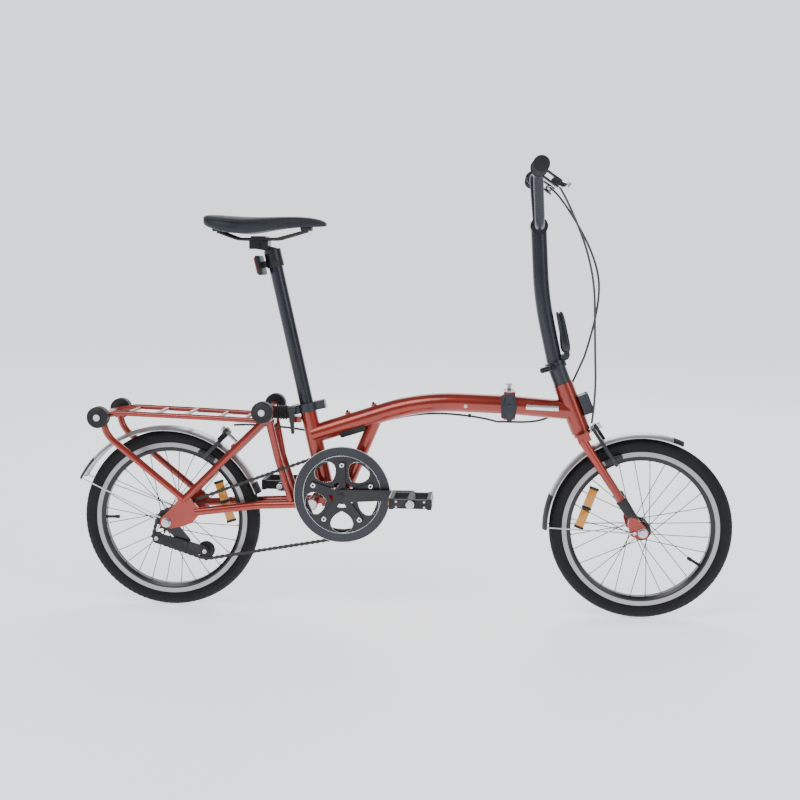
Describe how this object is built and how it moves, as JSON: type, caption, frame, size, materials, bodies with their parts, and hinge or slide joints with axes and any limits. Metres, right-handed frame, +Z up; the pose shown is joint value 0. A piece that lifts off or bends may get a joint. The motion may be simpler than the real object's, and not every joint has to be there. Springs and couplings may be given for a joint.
{
  "type": "folding bicycle",
  "caption": "Small-wheeled folding bicycle with an arched main tube that folds sideways, a swinging rear triangle with a rack, a folding handlepost and a sliding seatpost.",
  "frame": {"origin": "on the ground, midway between the rear fender's tip and the front tyre's front, in the middle plane", "axes": "+X forwards, +Y to the rider's left, +Z up; the chain is on -Y"},
  "size_m": [1.5286, 0.6, 1.0374],
  "materials": {
    "frame_paint": "metallic orange red",
    "black_paint": "satin",
    "tyre_rubber": "matt",
    "rim_alloy": "machined",
    "steel": "satin",
    "alloy": "satin",
    "chain_steel": "oiled",
    "black_plastic": "matt",
    "soft_rubber": "matt",
    "saddle_cover": "satin"
  },
  "bodies": {
    "main_frame": {"main_frame": "frame_paint", "seat_clamp": "black_paint", "bottom_bracket_cartridge": "chain_steel", "frame_pivot_pins": "steel", "hinge_clamp_plate": "black_paint", "hinge_cable": "soft_rubber", "rear_cable": "soft_rubber"},
    "seat_clamp_lever": {"seat_clamp_lever": "alloy"},
    "seatpost": {"seatpost": "black_paint", "saddle_clamp": "alloy", "saddle_rails": "steel", "saddle": "saddle_cover"},
    "rear_frame": {"rear_frame": "frame_paint", "rear_fender": "alloy", "suspension_bellows": "soft_rubber", "rear_fasteners": "steel", "chain": "chain_steel", "tensioner_bracket": "steel"},
    "rear_brake_arm_left": {"rear_brake_arm_left": "alloy"},
    "rear_brake_arm_right": {"rear_brake_arm_right": "alloy"},
    "rear_wheel": {"rear_tyre": "tyre_rubber", "rear_rim": "rim_alloy", "rear_spokes": "steel", "rear_hub": "alloy"},
    "rear_sprocket": {"rear_sprocket": "steel"},
    "rear_rollers": {"rear_rollers": "black_plastic"},
    "front_rollers": {"front_rollers": "black_plastic"},
    "tensioner_arm": {"tensioner_arm": "alloy"},
    "jockey_wheel": {"jockey_wheel": "black_plastic"},
    "guide_wheel": {"guide_wheel": "black_plastic"},
    "crank": {"crank_axles": "steel", "chainring": "steel", "chain_guard": "black_paint", "crank_arm_right": "alloy", "crank_arm_left": "alloy"},
    "pedal_right": {"pedal_right": "black_plastic"},
    "pedal_left": {"pedal_left": "black_plastic"},
    "front_frame": {"front_frame": "frame_paint", "headset_cups": "alloy", "luggage_block": "black_paint", "head_cable": "soft_rubber"},
    "hinge_clamp_lever": {"hinge_clamp_lever": "black_paint"},
    "fork": {"fork": "frame_paint", "front_fender": "alloy", "front_axle": "steel", "handlepost_base": "black_paint", "bar_cables": "soft_rubber"},
    "front_brake_arm_left": {"front_brake_arm_left": "alloy"},
    "front_brake_arm_right": {"front_brake_arm_right": "alloy"},
    "front_wheel": {"front_tyre": "tyre_rubber", "front_rim": "rim_alloy", "front_spokes": "steel", "front_hub": "alloy"},
    "handlepost": {"handlepost": "black_paint", "handlebar": "black_paint", "grips": "soft_rubber", "brake_lever_mounts": "alloy"},
    "handlepost_latch": {"handlepost_latch": "black_paint"},
    "brake_lever_left": {"brake_lever_left": "alloy"},
    "brake_lever_right": {"brake_lever_right": "alloy"}
  },
  "joints": [
    {"name": "main_fold", "type": "hinge", "parent": "main_frame", "child": "front_frame", "pos_m": [0.24728, 0.038, 0.493], "axis": [0, 0, -1], "range_deg": [-165, 0], "deforming": ["hinge_cable"]},
    {"name": "steering", "type": "hinge", "parent": "front_frame", "child": "fork", "pos_m": [0.50228, 0, 0.21], "axis": [-0.3714, 0, 0.9285], "range_deg": [-65, 65], "deforming": ["head_cable"]},
    {"name": "handlepost_fold", "type": "hinge", "parent": "fork", "child": "handlepost", "pos_m": [0.33102, -0.02227, 0.5782], "axis": [0.6565, -0.7071, 0.2626], "range_deg": [0, 155], "deforming": ["bar_cables"]},
    {"name": "rear_fold", "type": "hinge", "parent": "main_frame", "child": "rear_frame", "pos_m": [-0.20572, 0, 0.256], "axis": [0, -1, 0], "range_deg": [0, 140], "deforming": ["chain", "rear_cable"]},
    {"name": "crank_spin", "type": "hinge", "parent": "main_frame", "child": "crank", "pos_m": [-0.13372, 0, 0.283], "axis": [0, 1, 0], "continuous": true},
    {"name": "pedal_right_spin", "type": "hinge", "parent": "crank", "child": "pedal_right", "pos_m": [0.03118, -0.126, 0.28876], "axis": [0, 1, 0], "continuous": true},
    {"name": "pedal_left_spin", "type": "hinge", "parent": "crank", "child": "pedal_left", "pos_m": [-0.29862, 0.126, 0.27724], "axis": [0, 1, 0], "continuous": true},
    {"name": "rear_wheel_spin", "type": "hinge", "parent": "rear_frame", "child": "rear_wheel", "pos_m": [-0.54372, 0, 0.21], "axis": [0, 1, 0], "continuous": true},
    {"name": "front_wheel_spin", "type": "hinge", "parent": "fork", "child": "front_wheel", "pos_m": [0.55428, 0, 0.21], "axis": [0, 1, 0], "continuous": true},
    {"name": "rear_rollers_spin", "type": "hinge", "parent": "rear_frame", "child": "rear_rollers", "pos_m": [-0.69172, 0, 0.458], "axis": [0, 1, 0], "continuous": true},
    {"name": "front_rollers_spin", "type": "hinge", "parent": "rear_frame", "child": "front_rollers", "pos_m": [-0.31172, 0, 0.476], "axis": [0, 1, 0], "continuous": true},
    {"name": "rear_sprocket_spin", "type": "hinge", "parent": "rear_frame", "child": "rear_sprocket", "pos_m": [-0.54372, -0.044, 0.21], "axis": [0, 1, 0], "continuous": true},
    {"name": "tensioner_swing", "type": "hinge", "parent": "rear_frame", "child": "tensioner_arm", "pos_m": [-0.49812, -0.06, 0.163], "axis": [0, -1, 0], "range_deg": [-3, 20], "stiffness_Nm_per_rad": 1, "deforming": ["chain"]},
    {"name": "jockey_spin", "type": "hinge", "parent": "tensioner_arm", "child": "jockey_wheel", "pos_m": [-0.45372, -0.044, 0.144], "axis": [0, 1, 0], "continuous": true},
    {"name": "guide_spin", "type": "hinge", "parent": "tensioner_arm", "child": "guide_wheel", "pos_m": [-0.56772, -0.044, 0.172], "axis": [0, 1, 0], "continuous": true},
    {"name": "seatpost_slide", "type": "slide", "parent": "main_frame", "child": "seatpost", "axis": [-0.2215, 0, 0.9751], "range_m": [-0.28, 0.015]},
    {"name": "seat_clamp_open", "type": "hinge", "parent": "main_frame", "child": "seat_clamp_lever", "pos_m": [-0.25372, -0.0294, 0.478], "axis": [-1, 0, 0], "range_deg": [0, 150]},
    {"name": "hinge_clamp_turn", "type": "hinge", "parent": "main_frame", "child": "hinge_clamp_lever", "pos_m": [0.24728, -0.045, 0.493], "axis": [0, 1, 0], "range_deg": [0, 90]},
    {"name": "latch_open", "type": "hinge", "parent": "handlepost", "child": "handlepost_latch", "pos_m": [0.37584, 0, 0.6069], "axis": [0, 1, 0], "range_deg": [0, 100]},
    {"name": "brake_lever_right_pull", "type": "hinge", "parent": "handlepost", "child": "brake_lever_right", "pos_m": [0.33505, -0.152, 0.99174], "axis": [-0.5708, 0, -0.8211], "range_deg": [0, 18], "stiffness_Nm_per_rad": 2},
    {"name": "brake_lever_left_pull", "type": "hinge", "parent": "handlepost", "child": "brake_lever_left", "pos_m": [0.33505, 0.152, 0.99174], "axis": [0.5708, 0, 0.8211], "range_deg": [0, 18], "stiffness_Nm_per_rad": 2},
    {"name": "front_brake_arm_right_swing", "type": "hinge", "parent": "fork", "child": "front_brake_arm_right", "pos_m": [0.44066, 0, 0.43991], "axis": [0.8299, 0, 0.5579], "range_deg": [0, 1.3]},
    {"name": "front_brake_arm_left_swing", "type": "hinge", "parent": "fork", "child": "front_brake_arm_left", "pos_m": [0.44731, 0, 0.44438], "axis": [-0.8299, 0, -0.5579], "range_deg": [0, 1.3]},
    {"name": "rear_brake_arm_right_swing", "type": "hinge", "parent": "rear_frame", "child": "rear_brake_arm_right", "pos_m": [-0.40955, 0, 0.41283], "axis": [0.722, 0, -0.6919], "range_deg": [0, 1.2]},
    {"name": "rear_brake_arm_left_swing", "type": "hinge", "parent": "rear_frame", "child": "rear_brake_arm_left", "pos_m": [-0.41532, 0, 0.41837], "axis": [-0.722, 0, 0.6919], "range_deg": [0, 1.2]}
  ],
  "couplings": [
    {"joint": "rear_sprocket_spin", "follows": "crank_spin", "ratio": 3.8462},
    {"joint": "jockey_spin", "follows": "crank_spin", "ratio": 4.5955},
    {"joint": "guide_spin", "follows": "crank_spin", "ratio": 7.7769},
    {"joint": "front_brake_arm_right_swing", "follows": "brake_lever_right_pull", "ratio": 0.072222},
    {"joint": "front_brake_arm_left_swing", "follows": "brake_lever_right_pull", "ratio": 0.072222},
    {"joint": "rear_brake_arm_right_swing", "follows": "brake_lever_left_pull", "ratio": 0.066667},
    {"joint": "rear_brake_arm_left_swing", "follows": "brake_lever_left_pull", "ratio": 0.066667}
  ]
}
